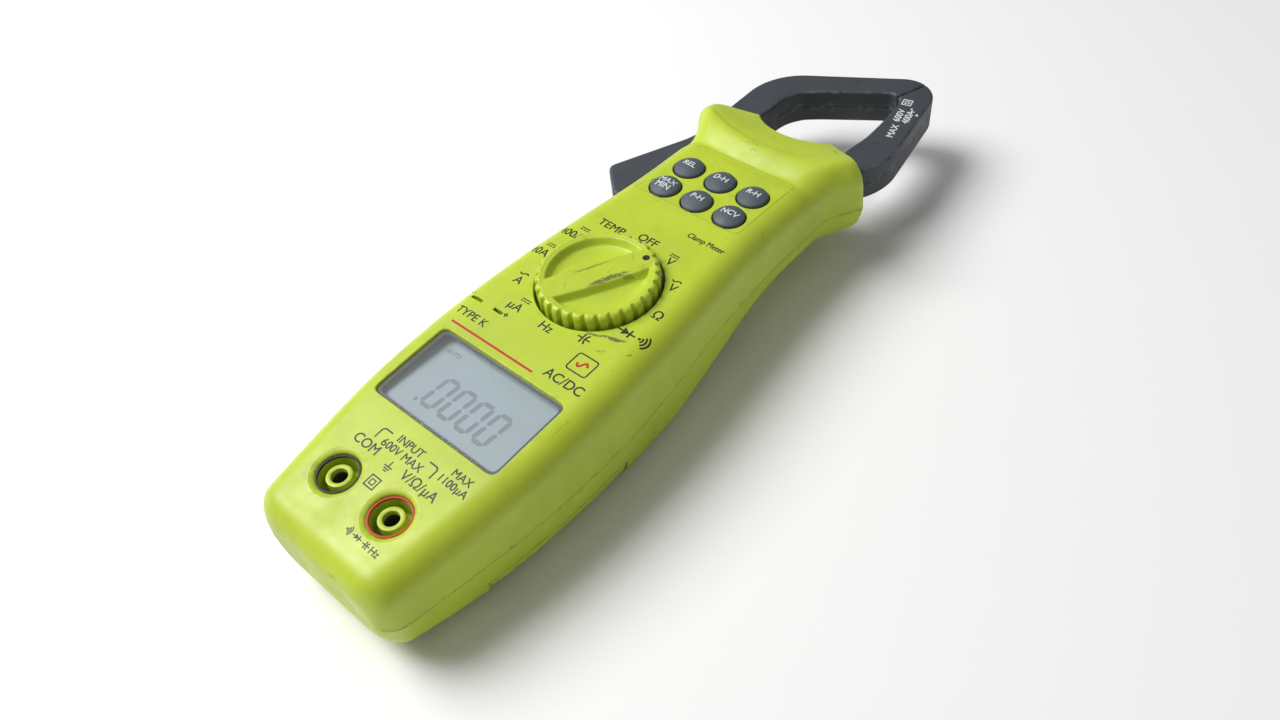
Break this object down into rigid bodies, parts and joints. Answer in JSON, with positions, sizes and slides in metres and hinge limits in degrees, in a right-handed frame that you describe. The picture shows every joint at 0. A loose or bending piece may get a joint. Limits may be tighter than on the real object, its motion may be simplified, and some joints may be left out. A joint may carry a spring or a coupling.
{
  "type": "clamp meter",
  "caption": "Hand-held clamp meter: sprung jaw with side lever, range dial, display, push buttons, two test lead sockets and a thermocouple socket in a two-part case.",
  "frame": {"origin": "middle of the flat rear rest pad, on the plane that it rests on", "axes": "+Y along the case to the tip of the jaws, +Z out of the front face, +X to the fixed jaw side; the moving jaw and its lever are on -X"},
  "size_m": [0.0693, 0.2312, 0.0375],
  "materials": {
    "case_plastic": "fine-textured lime moulding, satin where handled",
    "jaw_plastic": "fine-textured slate moulding",
    "button_rubber": "smooth satin slate key tops with white legends",
    "clear_lens": "clear polished window",
    "display_glass": "reflective liquid-crystal cell",
    "display_frame": "dark grey frame",
    "elastomer": "matt silicone",
    "board_laminate": "solder mask over glass-epoxy",
    "black_moulding": "plain black moulding",
    "switch_metal": "stamped switch cover",
    "socket_brass": "plated turned brass",
    "ring_black": "black ring",
    "ring_red": "red ring",
    "battery_can": "printed steel jacket",
    "core_laminations": "stacked laminations",
    "rotor_plastic": "natural acetal",
    "screw_steel": "zinc-plated screw",
    "ground_steel": "ground steel",
    "spring_steel": "drawn spring wire"
  },
  "bodies": {
    "case": {"front_case": "case_plastic", "rear_case": "case_plastic", "battery_cover": "case_plastic", "battery_cover_screw": "screw_steel", "case_screws": "screw_steel", "lcd_lens": "clear_lens", "lcd_glass": "display_glass", "lcd_holder": "display_frame", "zebra_strips": "elastomer", "main_board": "board_laminate", "board_screws": "screw_steel", "meter_chip": "black_moulding", "buzzer": "black_moulding", "board_header": "black_moulding", "key_board": "board_laminate", "tact_switches": "switch_metal", "com_socket": "socket_brass", "volt_socket": "socket_brass", "com_ring": "ring_black", "volt_ring": "ring_red", "probe_socket_block": "black_moulding", "probe_contacts": "socket_brass", "battery": "battery_can", "battery_snap": "black_moulding", "jaw_pivot_pin": "ground_steel", "jaw_spring": "spring_steel", "fixed_jaw_top": "jaw_plastic", "fixed_jaw_bottom": "jaw_plastic", "fixed_core": "core_laminations", "hall_sensor": "black_moulding", "fixed_jaw_screws": "screw_steel"},
    "jaw": {"moving_jaw_top": "jaw_plastic", "moving_jaw_bottom": "jaw_plastic", "moving_core": "core_laminations", "jaw_lever_screws": "screw_steel"},
    "dial": {"dial_knob": "case_plastic", "dial_rotor": "rotor_plastic", "wiper_contacts": "socket_brass", "detent_balls": "ground_steel", "detent_springs": "spring_steel"},
    "key_rel": {"button_rel": "button_rubber"},
    "key_data_hold": {"button_data_hold": "button_rubber"},
    "key_range_hold": {"button_range_hold": "button_rubber"},
    "key_max_min": {"button_max_min": "button_rubber"},
    "key_peak_hold": {"button_peak_hold": "button_rubber"},
    "key_voltage_detect": {"button_voltage_detect": "button_rubber"}
  },
  "joints": [
    {"name": "jaw_open", "type": "hinge", "parent": "case", "child": "jaw", "pos_m": [-0.014, 0.09, 0.0195], "axis": [0, 0, 1], "range_deg": [0, 26], "stiffness_Nm_per_rad": 0.8, "springref_deg": -20.05},
    {"name": "dial_turn", "type": "hinge", "parent": "case", "child": "dial", "pos_m": [0, 0.01965, 0.03], "axis": [0, 0, 1], "continuous": true},
    {"name": "press_rel", "type": "slide", "parent": "case", "child": "key_rel", "axis": [0, 0, -1], "range_m": [0, 0.0006], "stiffness_N_per_m": 1200, "springref_m": -0.0002},
    {"name": "press_data_hold", "type": "slide", "parent": "case", "child": "key_data_hold", "axis": [0, 0, -1], "range_m": [0, 0.0006], "stiffness_N_per_m": 1200, "springref_m": -0.0002},
    {"name": "press_range_hold", "type": "slide", "parent": "case", "child": "key_range_hold", "axis": [0, 0, -1], "range_m": [0, 0.0006], "stiffness_N_per_m": 1200, "springref_m": -0.0002},
    {"name": "press_max_min", "type": "slide", "parent": "case", "child": "key_max_min", "axis": [0, 0, -1], "range_m": [0, 0.0006], "stiffness_N_per_m": 1200, "springref_m": -0.0002},
    {"name": "press_peak_hold", "type": "slide", "parent": "case", "child": "key_peak_hold", "axis": [0, 0, -1], "range_m": [0, 0.0006], "stiffness_N_per_m": 1200, "springref_m": -0.0002},
    {"name": "press_voltage_detect", "type": "slide", "parent": "case", "child": "key_voltage_detect", "axis": [0, 0, -1], "range_m": [0, 0.0006], "stiffness_N_per_m": 1200, "springref_m": -0.0002}
  ]
}
